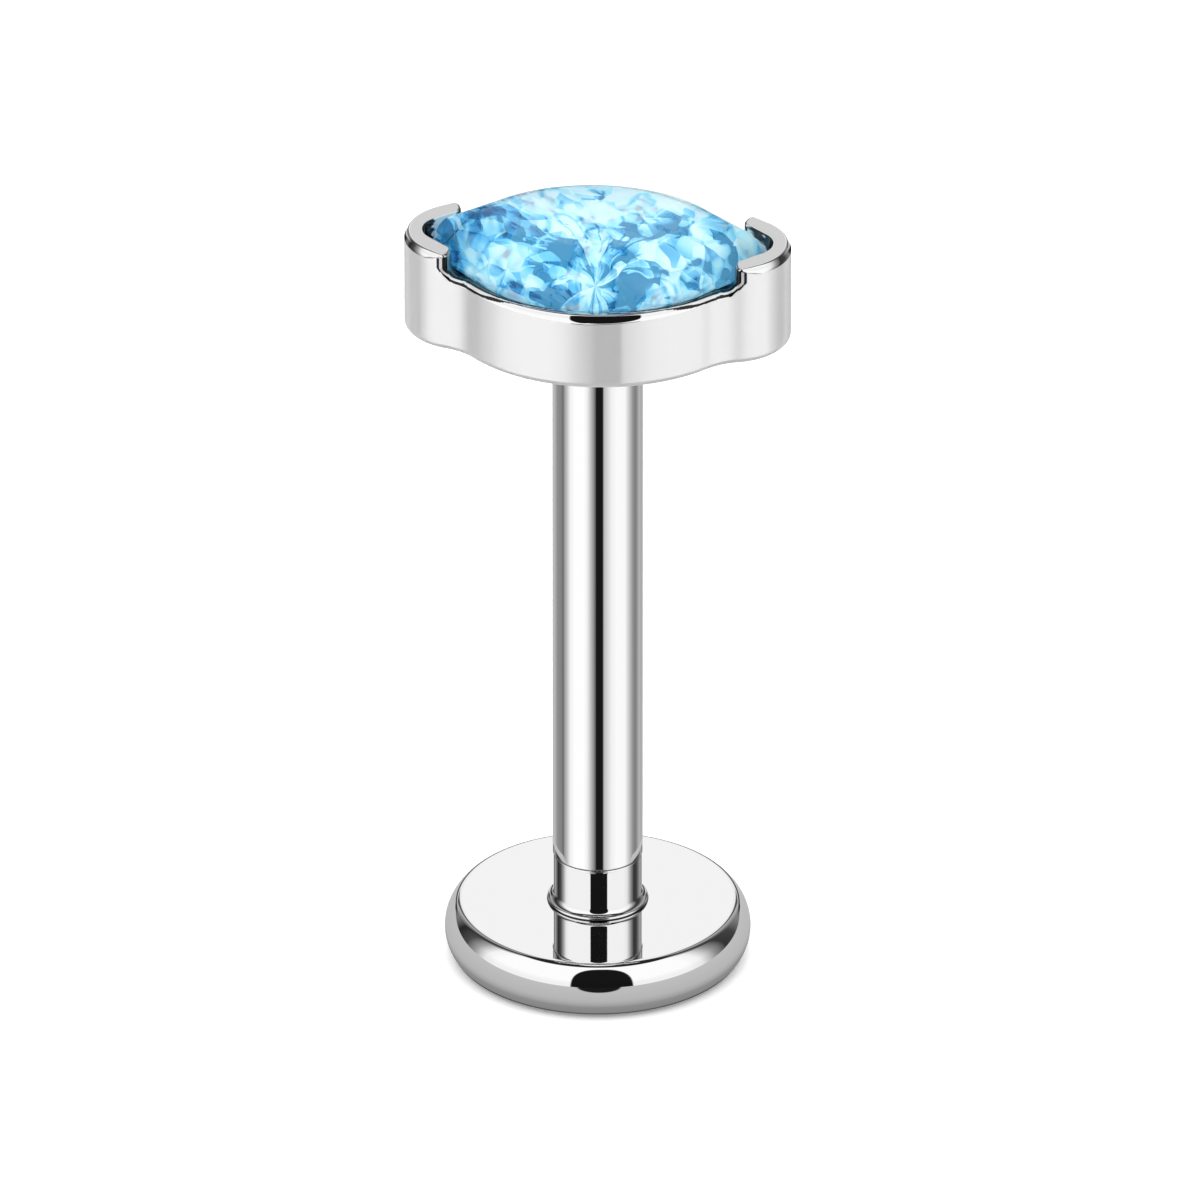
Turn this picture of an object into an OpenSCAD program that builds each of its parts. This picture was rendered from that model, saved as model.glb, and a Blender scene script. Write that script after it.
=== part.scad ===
// Labret stud: a round base disc with a collar, a plain tube post, and a
// marquise cup that holds a faceted stone. The stud stands on its disc.
// The origin is the middle of the disc's underside, +Z runs up the post and
// X runs along the stone. Lengths are in millimetres.

/* [Base disc] */
// Diameter of the disc at the widest line of its rounded rim
disc_d = 4.07; // [3.9:0.01:4.3]
// Thickness of the disc
disc_t = 0.785; // [0.72:0.005:0.84]
// Radius of the rim's outward bulge
rim_r = 0.52; // [0.48:0.01:0.6]
// Height of the rim's widest line
rim_z = 0.385; // [0.36:0.005:0.42]
// Diameter of the flat underside that the stud stands on
underside_d = 3.6; // [3.4:0.05:3.7]

/* [Collar] */
// Height of the seam where the post stands on the collar
seam_z = 1.49; // [1.4:0.01:1.6]
// Diameter of the collar at the seam, a little under the post's
collar_d = 1.18; // [1.12:0.01:1.2]
// Diameter of the bead round the collar's foot
bead_d = 1.34; // [1.3:0.01:1.4]
// Radius of the bead's round edge
bead_r = 0.03; // [0.02:0.005:0.07]
// Radius of the hollow flare between collar and bead
flare_r = 0.1; // [0.1:0.05:0.9]

/* [Post] */
// Outer diameter of the post
post_d = 1.2; // [1.2:0.01:1.25]
// Height of the post's top end, where the cup sits
post_top_z = 9.29; // [8.3:0.01:11.3]
// Diameter of the bore that takes the cup's pin
bore_d = 0.66; // [0.66:0.01:0.8]
// Depth of the bore from the post's top end
bore_depth = 6.2; // [5.6:0.05:6.3]
// Width of the chamfer at the post's top end
post_chamfer = 0.04; // [0.02:0.01:0.06]

/* [Cup] */
// Length of the cup over its two round ends
cup_l = 5.12; // [5.08:0.01:5.2]
// Width of the cup across its two bulging sides
cup_w = 3.4; // [3.36:0.01:3.5]
// Height of the cup's side walls
side_h = 1.075; // [1.05:0.005:1.2]
// Rise of the end caps above the side walls
cap_h = 0.325; // [0.25:0.005:0.4]
// Thickness of the side walls
wall = 0.17; // [0.15:0.01:0.18]
// Thickness of the cup's floor
cup_floor = 0.2; // [0.18:0.01:0.25]
// Radius of the bulging sides
side_r = 2.15; // [2.1:0.01:2.2]
// Radius of the round ends
lobe_r = 0.82; // [0.8:0.01:0.84]
// Radius of the hollow shoulders between the sides and the round ends
shoulder_r = 0.8; // [0.6:0.05:1]
// Half the angle that each end cap covers, about the middle of its round end
cap_angle = 77; // [70:1:82]

/* [Pin] */
// Diameter of the pin under the cup
pin_d = 0.58; // [0.5:0.01:0.6]
// Length of the pin below the cup
pin_l = 5.5; // [5:0.1:5.5]

/* [Stone] */
// Length of the stone from tip to tip
stone_l = 4.44; // [4.3:0.01:4.46]
// Gap between the stone's girdle and the side walls
stone_gap = 0.03; // [0.025:0.005:0.05]
// Height of the crown above the girdle
crown_h = 0.62; // [0.45:0.01:0.65]
// Thickness of the girdle
girdle_t = 0.05; // [0.03:0.01:0.08]
// Length of the table, as a share of the stone's length
table_run = 0.65; // [0.56:0.01:0.7]
// Width of the table, as a share of the stone's width
table_span = 0.56; // [0.5:0.01:0.6]
// Depth of the pavilion below the girdle
pavilion_h = 0.75; // [0.6:0.01:0.77]

/* [Hidden] */
$fn = 96;

eps = 0.01;                                     // overlap where solids are cut or joined
piece_gap = 0.01;                               // gap where two pieces meet

disc_r = disc_d / 2;
rim_x = disc_r - rim_r;                         // middle of the rim's bulge
bead_x = bead_d / 2 - bead_r;                   // middle of the bead's round edge
bead_z = disc_t + bead_r;
flare_x = collar_d / 2 + flare_r;               // middle of the flare's arc
flare_z = bead_z + sqrt(max(0, flare_r * flare_r - pow(flare_x - bead_x, 2)));  // it ends at the bead

cup_z = post_top_z + piece_gap;                 // underside of the cup
side_z = cup_z + side_h;                        // top of the side walls
cap_z = side_z + cap_h;                         // top of the end caps
side_y = side_r - cup_w / 2;                    // the sides' arcs have their middles this far past the axis
lobe_x = cup_l / 2 - lobe_r;                    // middle of a round end
bay_r = lobe_r - 0.06;                          // the hollow's round part in an end cap
bay_x = lobe_x - 0.377;
tip_r = 0.35;                                   // round tip of the hollow in an end cap
tip_x = lobe_x + 0.226;
ledge_w = 0.09;                                 // width of the ledge under the girdle

stone_r = side_r - wall - stone_gap;            // radius of the girdle's long arcs
stone_tip = stone_l / 2;
crown_z = side_z;                               // top of the girdle, level with the side walls
girdle_z = crown_z - girdle_t;                  // underside of the girdle
ledge_z = girdle_z - 0.075;                     // height of the ledge under the girdle
table_z = crown_z + crown_h;
star_run = 0.85;                                // where the star facets end, as shares of the
star_span = 0.677;                              // stone's length and width
star_drop = 0.13;                               // how far they fall, as a share of the crown
waist_run = 0.945;                              // the same for the main facets, under the stars
waist_span = 0.878;
waist_drop = 0.4;
knee_share = 0.5;                               // where the pavilion's facets meet
knee_drop = 0.62;                               // how deep that is, as a share of the pavilion
main_n = 16;                                    // main facets round the stone
girdle_n = 2 * main_n;                          // corners round the girdle

// A round edge in a lathe section: a circle, kept to the right of the axis
module section_circle(x, z, r) {
    translate([x, z]) circle(r = r);
}

// Disc and collar are one turned piece
module base_disc() {
    color("silver") rotate_extrude() {
        disc_section();
        collar_section();
    }
}

module disc_section() {
    square([rim_x, disc_t]);
    difference() {
        section_circle(rim_x, rim_z, rim_r);
        translate([0, disc_t]) square([disc_d, disc_t]);
        translate([0, -disc_t]) square([disc_d, disc_t]);
        translate([-disc_d, -disc_t]) square([disc_d, 3 * disc_t]);
        // the underside turns up just outside the flat that the stud stands on
        polygon([[underside_d / 2, -eps], [disc_d, -eps], [disc_d, (disc_d - underside_d / 2) * 0.5]]);
    }
}

module collar_section() {
    translate([0, disc_t - eps]) square([bead_x, 2 * bead_r + eps]);
    section_circle(bead_x, bead_z, bead_r);
    difference() {
        translate([0, disc_t - eps]) square([bead_x, flare_z - disc_t + eps]);
        section_circle(flare_x, flare_z, flare_r);
    }
    translate([0, disc_t - eps]) square([collar_d / 2, seam_z - disc_t + eps]);
}

// A tube, closed at the foot, with a chamfer round its open end
module post() {
    top = post_top_z;
    foot = seam_z + piece_gap;
    color("silver") rotate_extrude() polygon([
        [0, foot],
        [post_d / 2, foot],
        [post_d / 2, top - post_chamfer],
        [post_d / 2 - post_chamfer, top],
        [bore_d / 2, top],
        [bore_d / 2, top - bore_depth],
        [0, top - bore_depth]
    ]);
}

// The lens between two arcs of one radius, whose middles lie side_y past the axis
module lens(r) {
    intersection() {
        translate([0, side_y]) circle(r = r);
        translate([0, -side_y]) circle(r = r);
    }
}

// Middle of the shoulder's arc: it touches the side's arc and the round end's arc
function shoulder_middle() =
    let (far = side_r + shoulder_r, near = lobe_r + shoulder_r)
    let (span = sqrt(lobe_x * lobe_x + side_y * side_y))
    let (along = (far * far - near * near + span * span) / (2 * span))
    let (off = sqrt(far * far - along * along))
    [along * lobe_x - off * side_y, side_y * span - along * side_y - off * lobe_x] / span;

// The cup's outline seen from above
module cup_outline() {
    corner = shoulder_middle();
    lens(side_r);
    for (end = [-1, 1]) translate([end * lobe_x, 0]) circle(r = lobe_r);
    for (end = [0, 1], side = [0, 1]) mirror([end, 0]) mirror([0, side]) difference() {
        polygon([[0, side_y], [lobe_x, 0], corner]);
        translate(corner) circle(r = shoulder_r);
    }
}

// The hollow's outline, taken in by inset: a lens, and a bay that narrows to a
// round tip in each end cap
module hollow_outline(inset) {
    big = bay_r - inset;
    small = tip_r - inset / 2;
    turn = acos((big - small) / (tip_x - bay_x));
    lens(side_r - wall - inset);
    for (end = [0, 1]) mirror([end, 0]) {
        translate([bay_x, 0]) circle(r = big);
        translate([tip_x, 0]) circle(r = small);
        polygon([
            [bay_x, 0],
            [bay_x, 0] + big * [cos(turn), -sin(turn)],
            [tip_x, 0] + small * [cos(turn), -sin(turn)],
            [tip_x, 0],
            [tip_x, 0] + small * [cos(turn), sin(turn)],
            [bay_x, 0] + big * [cos(turn), sin(turn)]
        ]);
    }
}

// The wedge round each end of the cup where the wall rises into a cap
module cap_wedges() {
    reach = 2 * lobe_r;
    for (end = [0, 1]) mirror([end, 0]) translate([lobe_x, 0]) polygon([
        [0, 0],
        reach * [cos(cap_angle), -sin(cap_angle)],
        reach * [1, -1],
        reach * [1, 1],
        reach * [cos(cap_angle), sin(cap_angle)]
    ]);
}

// Cup, end caps and pin are soldered into one piece
module setting() {
    color("gainsboro") {
        difference() {
            union() {
                translate([0, 0, cup_z]) linear_extrude(side_h) cup_outline();
                translate([0, 0, side_z - eps]) linear_extrude(cap_h + eps) intersection() {
                    cup_outline();
                    cap_wedges();
                }
            }
            translate([0, 0, ledge_z]) linear_extrude(cap_z) hollow_outline(0);
            translate([0, 0, cup_z + cup_floor]) linear_extrude(cap_z) hollow_outline(ledge_w);
        }
        translate([0, 0, cup_z - pin_l]) cylinder(d = pin_d, h = pin_l + cup_floor / 2);
    }
}

// Each quarter of the girdle is a straight flank from the tip, then a long arc
// that it touches: flank_turn is where on the arc
flank_turn = atan2(side_y, stone_tip) + acos(stone_r / norm([stone_tip, side_y]));
flank_end = [stone_r * cos(flank_turn), stone_r * sin(flank_turn) - side_y];
flank_l = norm([stone_tip, 0] - flank_end);
quarter_l = flank_l + stone_r * (90 - flank_turn) * PI / 180;

// The girdle's corner that lies d along a quarter, counted from the tip
function girdle_spot(d) = d < flank_l
    ? [stone_tip - d * sin(flank_turn), d * cos(flank_turn)]
    : let (turn = flank_turn + (d - flank_l) / stone_r * 180 / PI)
        [stone_r * cos(turn), stone_r * sin(turn) - side_y];

// A corner of the stone: way is the way round it in quarters, run and span are its
// place between the axis (0) and the girdle (1), along the stone and across it
function stone_point(way, run, span, z) =
    let (q = floor(way), part = way - q)
    let (spot = girdle_spot(quarter_l * (q % 2 == 0 ? part : 1 - part)))
    [run * spot[0] * (q == 1 || q == 2 ? -1 : 1), span * spot[1] * (q < 2 ? 1 : -1), z];
function stone_ring(count, start, run, span, z) =
    [for (i = [0:count - 1]) stone_point((i + start) * 4 / count, run, span, z)];

// A full crown that slopes down to the tips: table, star facets, main facets and
// girdle facets, then the girdle and a pavilion down to a point
module stone() {
    star0 = main_n;
    waist0 = star0 + main_n;
    top0 = waist0 + main_n;
    low0 = top0 + girdle_n;
    knee0 = low0 + girdle_n;
    culet = knee0 + main_n;
    points = concat(
        stone_ring(main_n, 0, table_run, table_span, table_z),
        stone_ring(main_n, 0.5, star_run, star_span, table_z - star_drop * crown_h),
        stone_ring(main_n, 0, waist_run, waist_span, table_z - waist_drop * crown_h),
        stone_ring(girdle_n, 0, 1, 1, crown_z),
        stone_ring(girdle_n, 0, 1, 1, girdle_z),
        stone_ring(main_n, 0.5, knee_share, knee_share, girdle_z - knee_drop * pavilion_h),
        [[0, 0, girdle_z - pavilion_h]]
    );
    mains = [for (i = [0:main_n - 1]) [i, (i + 1) % main_n, (i + main_n - 1) % main_n]];
    faces = concat(
        [[for (i = [main_n - 1:-1:0]) i]],
        [for (m = mains) [m[0], m[1], star0 + m[0]]],
        [for (m = mains) [m[0], star0 + m[0], waist0 + m[0]]],
        [for (m = mains) [m[0], waist0 + m[0], star0 + m[2]]],
        [for (m = mains) [star0 + m[0], waist0 + m[1], waist0 + m[0]]],
        [for (m = mains) [waist0 + m[0], top0 + 2 * m[0] + 1, top0 + 2 * m[0]]],
        [for (m = mains) [waist0 + m[0], waist0 + m[1], top0 + 2 * m[0] + 1]],
        [for (m = mains) [waist0 + m[1], top0 + 2 * m[1], top0 + 2 * m[0] + 1]],
        [for (i = [0:girdle_n - 1])
            [top0 + i, top0 + (i + 1) % girdle_n, low0 + (i + 1) % girdle_n, low0 + i]],
        [for (m = mains) [knee0 + m[0], low0 + 2 * m[0], low0 + 2 * m[0] + 1]],
        [for (m = mains) [knee0 + m[0], low0 + 2 * m[0] + 1, low0 + 2 * m[1]]],
        [for (m = mains) [culet, low0 + 2 * m[0], knee0 + m[0]]],
        [for (m = mains) [culet, knee0 + m[0], low0 + 2 * m[1]]]
    );
    color("skyblue") polyhedron(points = points, faces = faces, convexity = 2);
}

base_disc();
post();
setting();
stone();
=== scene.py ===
import bisect
import math
from functools import partial

import bpy
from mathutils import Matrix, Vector


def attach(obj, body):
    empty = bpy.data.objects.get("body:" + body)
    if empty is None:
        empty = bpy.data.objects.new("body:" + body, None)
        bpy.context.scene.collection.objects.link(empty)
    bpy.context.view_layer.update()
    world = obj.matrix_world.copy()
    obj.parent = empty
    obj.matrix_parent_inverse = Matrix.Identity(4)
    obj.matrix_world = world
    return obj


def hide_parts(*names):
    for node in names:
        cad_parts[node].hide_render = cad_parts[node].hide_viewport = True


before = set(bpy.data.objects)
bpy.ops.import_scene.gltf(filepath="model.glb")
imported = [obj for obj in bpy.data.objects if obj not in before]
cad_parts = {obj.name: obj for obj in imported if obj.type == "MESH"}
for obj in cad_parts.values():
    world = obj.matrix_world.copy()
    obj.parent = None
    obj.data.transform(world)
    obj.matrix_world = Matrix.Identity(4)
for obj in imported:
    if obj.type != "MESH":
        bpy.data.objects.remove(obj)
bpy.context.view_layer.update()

mm = 0.001

# Camera: the photo looks down on the stud from the front, a little from its right
view = {
    "azimuth": 6.0,
    "elevation": 28.0,
    "distance": 450,        # mm
    "aimHeight": 5.266,     # mm above the floor
    "aimRight": 0.0305,     # mm along the picture
    "pixelsPerMm": 75.5,
}


def placeCamera():
    turn = math.radians(view["azimuth"])
    lift = math.radians(view["elevation"])
    back = Vector((math.sin(turn) * math.cos(lift), -math.cos(turn) * math.cos(lift), math.sin(lift)))
    right = Vector((math.cos(turn), math.sin(turn), 0))
    data = bpy.data.cameras.new("camera")
    data.sensor_width = 36
    data.lens = view["pixelsPerMm"] * view["distance"] * 36 / 1200
    data.clip_start = 0.01
    data.clip_end = 10
    camera = bpy.data.objects.new("camera", data)
    bpy.context.scene.collection.objects.link(camera)
    aim = Vector((0, 0, view["aimHeight"])) + right * view["aimRight"]
    camera.location = (aim + back * view["distance"]) * mm
    camera.rotation_euler = back.to_track_quat("Z", "Y").to_euler()
    bpy.context.scene.camera = camera
    print("camera placed")


placeCamera()


# Small tools for shader nodes
def newMaterial(name):
    material = bpy.data.materials.new(name)
    material.use_nodes = True
    return material, material.node_tree


# Gives a socket a plain value or another node's result
def feed(tree, socket, value):
    if isinstance(value, bpy.types.NodeSocket):
        tree.links.new(value, socket)
    elif value is not None:
        socket.default_value = value


def addMath(tree, operation, first, second=None):
    node = tree.nodes.new("ShaderNodeMath")
    node.operation = operation
    feed(tree, node.inputs[0], first)
    feed(tree, node.inputs[1], second)
    return node.outputs[0]


# A smooth step from outLow to outHigh, also with low above high
def addRange(tree, value, low, high, outLow=0.0, outHigh=1.0):
    node = tree.nodes.new("ShaderNodeMapRange")
    node.interpolation_type = "SMOOTHSTEP"
    tree.links.new(value, node.inputs["Value"])
    node.inputs["From Min"].default_value = low
    node.inputs["From Max"].default_value = high
    node.inputs["To Min"].default_value = outLow
    node.inputs["To Max"].default_value = outHigh
    return node.outputs["Result"]


def addMix(tree, share, first, second):
    node = tree.nodes.new("ShaderNodeMix")
    node.data_type = "FLOAT"
    feed(tree, node.inputs[0], share)
    feed(tree, node.inputs[2], first)
    feed(tree, node.inputs[3], second)
    return node.outputs[0]


def addRamp(tree, share, stops):
    node = tree.nodes.new("ShaderNodeValToRGB")
    tree.links.new(share, node.inputs[0])
    elements = node.color_ramp.elements
    elements.remove(elements[1])
    for i, (place, colour) in enumerate(stops):
        element = elements[0] if i == 0 else elements.new(place)
        element.position = place
        element.color = (*colour, 1)
    return node.outputs["Color"]


def addNoise(tree, vector, scale, detail):
    node = tree.nodes.new("ShaderNodeTexNoise")
    node.inputs["Scale"].default_value = scale
    node.inputs["Detail"].default_value = detail
    tree.links.new(vector, node.inputs["Vector"])
    return node.outputs


# A vector turned about the upright axis
def addTurn(tree, vector, degrees):
    node = tree.nodes.new("ShaderNodeVectorRotate")
    node.rotation_type = "Z_AXIS"
    node.inputs["Angle"].default_value = math.radians(degrees)
    tree.links.new(vector, node.inputs["Vector"])
    return node.outputs[0]


# The place on a piece, in metres
def addPlace(tree):
    return tree.nodes.new("ShaderNodeTexCoord").outputs["Object"]


def addParts(tree, vector):
    node = tree.nodes.new("ShaderNodeSeparateXYZ")
    tree.links.new(vector, node.inputs[0])
    return node.outputs


# How far a place is from a spot, squared, in shares of the spot's half sizes
def addFar(tree, parts, *sides):
    do, total = partial(addMath, tree), 0.0
    for axis, middle, half in sides:
        off = do("DIVIDE", do("SUBTRACT", parts[axis], middle), half)
        total = do("ADD", total, do("POWER", off, 2.0))
    return total


# Metal whose gloss varies a little from place to place
def smudgedMetal(name, colour, metallic, smudge, roughness):
    material, tree = newMaterial(name)
    shader = tree.nodes["Principled BSDF"]
    shader.inputs["Metallic"].default_value = metallic
    shader.inputs["Base Color"].default_value = (*colour, 1)
    scale, detail, low, high = smudge
    noise = addNoise(tree, addPlace(tree), scale, detail)
    rough = addRange(tree, noise["Fac"], low, high, *roughness)
    tree.links.new(rough, shader.inputs["Roughness"])
    return material


# Studio: what the polished steel mirrors, by direction. Bearings in degrees are seen
# from the stud, 0 towards the camera and positive to the picture's right
studio = {
    "lowStripes": [(-180, 0.50), (-150, 0.55), (-140, 0.50), (-126, 0.30), (-107, 0.25), (-99, 0.16),
                   (-94, 0.36), (-84, 0.62), (-75, 0.98), (-60, 1.12), (-36, 1.12), (-27, 0.98),
                   (-17, 0.55), (-6, 0.14), (-4, 0.01), (13, 0.01), (16, 0.55), (35, 0.98), (50, 1.08),
                   (74, 1.06), (84, 0.74), (100, 0.34), (112, 0.22), (122, 0.34), (133, 0.52),
                   (145, 0.42), (160, 0.50), (180, 0.50)],
    "highStripes": [(-180, 1.00), (-165, 0.92), (-150, 0.50), (-138, 0.26), (-126, 0.02), (-112, 0.08),
                    (-101, 0.40), (-90, 1.00), (-80, 1.10), (70, 1.10), (82, 1.00), (96, 0.34),
                    (108, 0.04), (122, 0.06), (138, 0.30), (150, 0.50), (165, 0.92), (180, 1.00)],
    "stripesEnd": -18,      # the low stripes lie below this elevation
    "underside": -46,       # and it is dark below this one
    "undersideLevel": 0.10,
    "card": (3, 22.5, 54),  # dark camera card: bearing of its middle, half width, top
    "cardPowers": (2.6, 4.6),   # how square its sides and its top are
    "cardLevel": 0.008,
    "horizon": (6, 20, 0.90),   # the high stripes dim between these elevations, down to this share
    "frame": (157, 5, 15, 57),  # dark uprights of the back wall: bearing, half width, bottom, top
    "frameLevel": 0.10,
    "backBand": (140, -14, 9),  # dark band behind the stud: from this bearing, bottom, top
    "darkRing": (61, 84),   # elevations of the dark gap round the overhead light
    "darkLevel": 0.02,
    "overhead": 1.10,
    "lamps": [  # soft overhead disks: name, size and height in m, power
        ("floorLamp", 0.7, 0.45, 3.1),      # lights the floor and the satin walls
        ("stoneLamp", 1.0, 0.50, 6.3)],     # seen only through the stone
}


def lightStudio():
    world = bpy.data.worlds.new("studio")
    bpy.context.scene.world = world
    world.use_nodes = True
    tree = world.node_tree
    tree.nodes.clear()
    where = tree.nodes.new("ShaderNodeTexCoord")
    parts = addParts(tree, addTurn(tree, where.outputs["Generated"], -view["azimuth"]))
    do, step = partial(addMath, tree), partial(addRange, tree)
    turn = do("ARCTAN2", parts["X"], do("MULTIPLY", parts["Y"], -1.0))
    share = do("ADD", do("DIVIDE", turn, 2 * math.pi), 0.5)
    bearing = do("MULTIPLY", turn, 180 / math.pi)
    lift = do("MULTIPLY", do("ARCSINE", parts["Z"]), 180 / math.pi)

    def stripes(name):
        most = max(level for _, level in studio[name])
        stops = [(place / 360 + 0.5, (level / most,) * 3) for place, level in studio[name]]
        return do("MULTIPLY", addRamp(tree, share, stops), most)

    # the card: 0 inside a rounded box on the horizon, 1 outside it
    middle, half, top = studio["card"]
    powerAcross, powerUp = studio["cardPowers"]
    across = do("POWER", do("ABSOLUTE", do("DIVIDE", do("SUBTRACT", bearing, middle), half)), powerAcross)
    up = do("POWER", do("ABSOLUTE", do("DIVIDE", lift, top)), powerUp)
    card = step(do("ADD", across, up), 0.92, 1.08)
    high = do("MULTIPLY", stripes("highStripes"), do("MAXIMUM", card, studio["cardLevel"]))
    high = do("MULTIPLY", high, step(lift, *studio["horizon"], 1.0))

    def between(bottom, top, soft):
        return do("MULTIPLY", step(lift, bottom - 2, bottom + 2), step(lift, top + soft, top - soft))

    away, bottom, top = studio["backBand"]
    behind = do("MULTIPLY", step(do("ABSOLUTE", bearing), away - 6, away + 6), between(bottom, top, 3))
    high = addMix(tree, behind, high, studio["darkLevel"])
    side, half, bottom, top = studio["frame"]
    off = do("ABSOLUTE", do("SUBTRACT", do("ABSOLUTE", bearing), side))
    upright = do("MULTIPLY", step(off, half + 1, half - 1), between(bottom, top, 2))
    high = addMix(tree, upright, high, studio["frameLevel"])
    end, under = studio["stripesEnd"], studio["underside"]
    level = addMix(tree, step(lift, end - 2, end + 2), stripes("lowStripes"), high)
    level = addMix(tree, step(lift, under - 5, under + 5), studio["undersideLevel"], level)
    ringLow, ringHigh = studio["darkRing"]
    level = addMix(tree, step(lift, ringLow - 2, ringLow + 2), level, studio["darkLevel"])
    level = addMix(tree, step(lift, ringHigh - 1, ringHigh + 1), level, studio["overhead"])
    background = tree.nodes.new("ShaderNodeBackground")
    tree.links.new(level, background.inputs["Strength"])
    background.inputs["Color"].default_value = (1, 1, 1, 1)
    output = tree.nodes.new("ShaderNodeOutputWorld")
    tree.links.new(background.outputs[0], output.inputs["Surface"])

    for name, size, height, power in studio["lamps"]:
        light = bpy.data.lights.new(name, "AREA")
        light.shape = "DISK"
        light.size = size
        light.energy = power
        lamp = bpy.data.objects.new(name, light)
        bpy.context.scene.collection.objects.link(lamp)
        lamp.location = (0, 0, height)
        lamp.visible_camera = False
        lamp.visible_glossy = False
        lamp.visible_diffuse = name == "floorLamp"
        lamp.visible_transmission = name == "stoneLamp"
    bpy.context.scene.view_settings.view_transform = "Standard"
    print("studio lit")


lightStudio()


# Faces between two closed rings of points
def bandFaces(low, high):
    return [(a, b, d, c) for a, b, c, d in zip(low, low[1:] + low[:1], high, high[1:] + high[:1])]


# Faces from a closed ring to one point
def fanFaces(ring, point, fromBelow=False):
    return [(b, a, point) if fromBelow else (a, b, point) for a, b in zip(ring, ring[1:] + ring[:1])]


def addMesh(name, points, faces, material, smooth=True):
    mesh = bpy.data.meshes.new(name)
    mesh.from_pydata([Vector(p) * mm for p in points], [], faces)
    mesh.update()
    for face in mesh.polygons:
        face.use_smooth = smooth
    mesh.materials.append(material)
    piece = bpy.data.objects.new(name, mesh)
    bpy.context.scene.collection.objects.link(piece)
    return piece


# Each point's normal follows the largest faces round it, so flats stay flat up to their
# rounded edges
def keepFlatsFlat(piece):
    mesh = piece.data
    pushes = [Vector() for _ in mesh.vertices]
    for face in mesh.polygons:
        push = face.normal * (face.area / mm ** 2) ** 2
        for index in face.vertices:
            pushes[index] += push
    normals = []
    for face in mesh.polygons:
        for index in face.vertices:
            smooth = face.use_smooth and pushes[index].length > 0
            normals.append(pushes[index].normalized() if smooth else face.normal.copy())
    mesh.normals_split_custom_set(normals)


# Base disc with its collar, in mm
disc = {
    "radius": 2.035,
    "thickness": 0.785,
    "rimRadius": 0.52,
    "rimHeight": 0.385,
    "edgeRadius": 0.13,     # round edge of the flat top
    "standRadius": 1.8,     # the flat that it stands on
    "standRound": 0.05,
    "footSlope": 0.5,
    "beadRadius": 0.67,
    "beadRound": 0.022,
    "crease": 0.014,        # height of the crease between the flat top and the bead, painted dark as shade
    "flareRadius": 0.09,
    "neck": [(0.028, 0), (0.022, 0.001), (0.012, 0.006)],   # out from the bead's middle, up from the top
    "collarRadius": 0.59,
    "seam": 1.49,
    "seamRound": 0.014,
}

# Floor: plain and pale. The rim card stands for the floor that the disc's rim mirrors: it glows, seen only in
# reflections, as a painted reflection of the floor with painted shade near the disc. It rings the disc
# closely, up to the height where the rim mirrors the horizon
floor = {
    "half": 600,            # mm
    "white": 0.90,
    "glow": 0.22,           # a little light of its own keeps the disc's shade faint
    "cardTallest": 0.74,
    "card": [               # radius, share of the card's height, brightness
        # brightness is lowest under and near the disc: painted shade of the floor
        (1.80, 0.0, 0.03), (1.915, 0.0, 0.05), (1.935, 0.0, 0.26), (2.085, 0.0, 0.30),
        (2.085, 0.25, 0.40), (2.085, 0.55, 0.52), (2.085, 1.0, 0.58)],
    # the camera card's dark foot on it, a painted reflection: sideways place, half width, height, depth in mm
    "cameraCardFoot": (0.02, 0.31, 0.515, 0.085),
}


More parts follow.
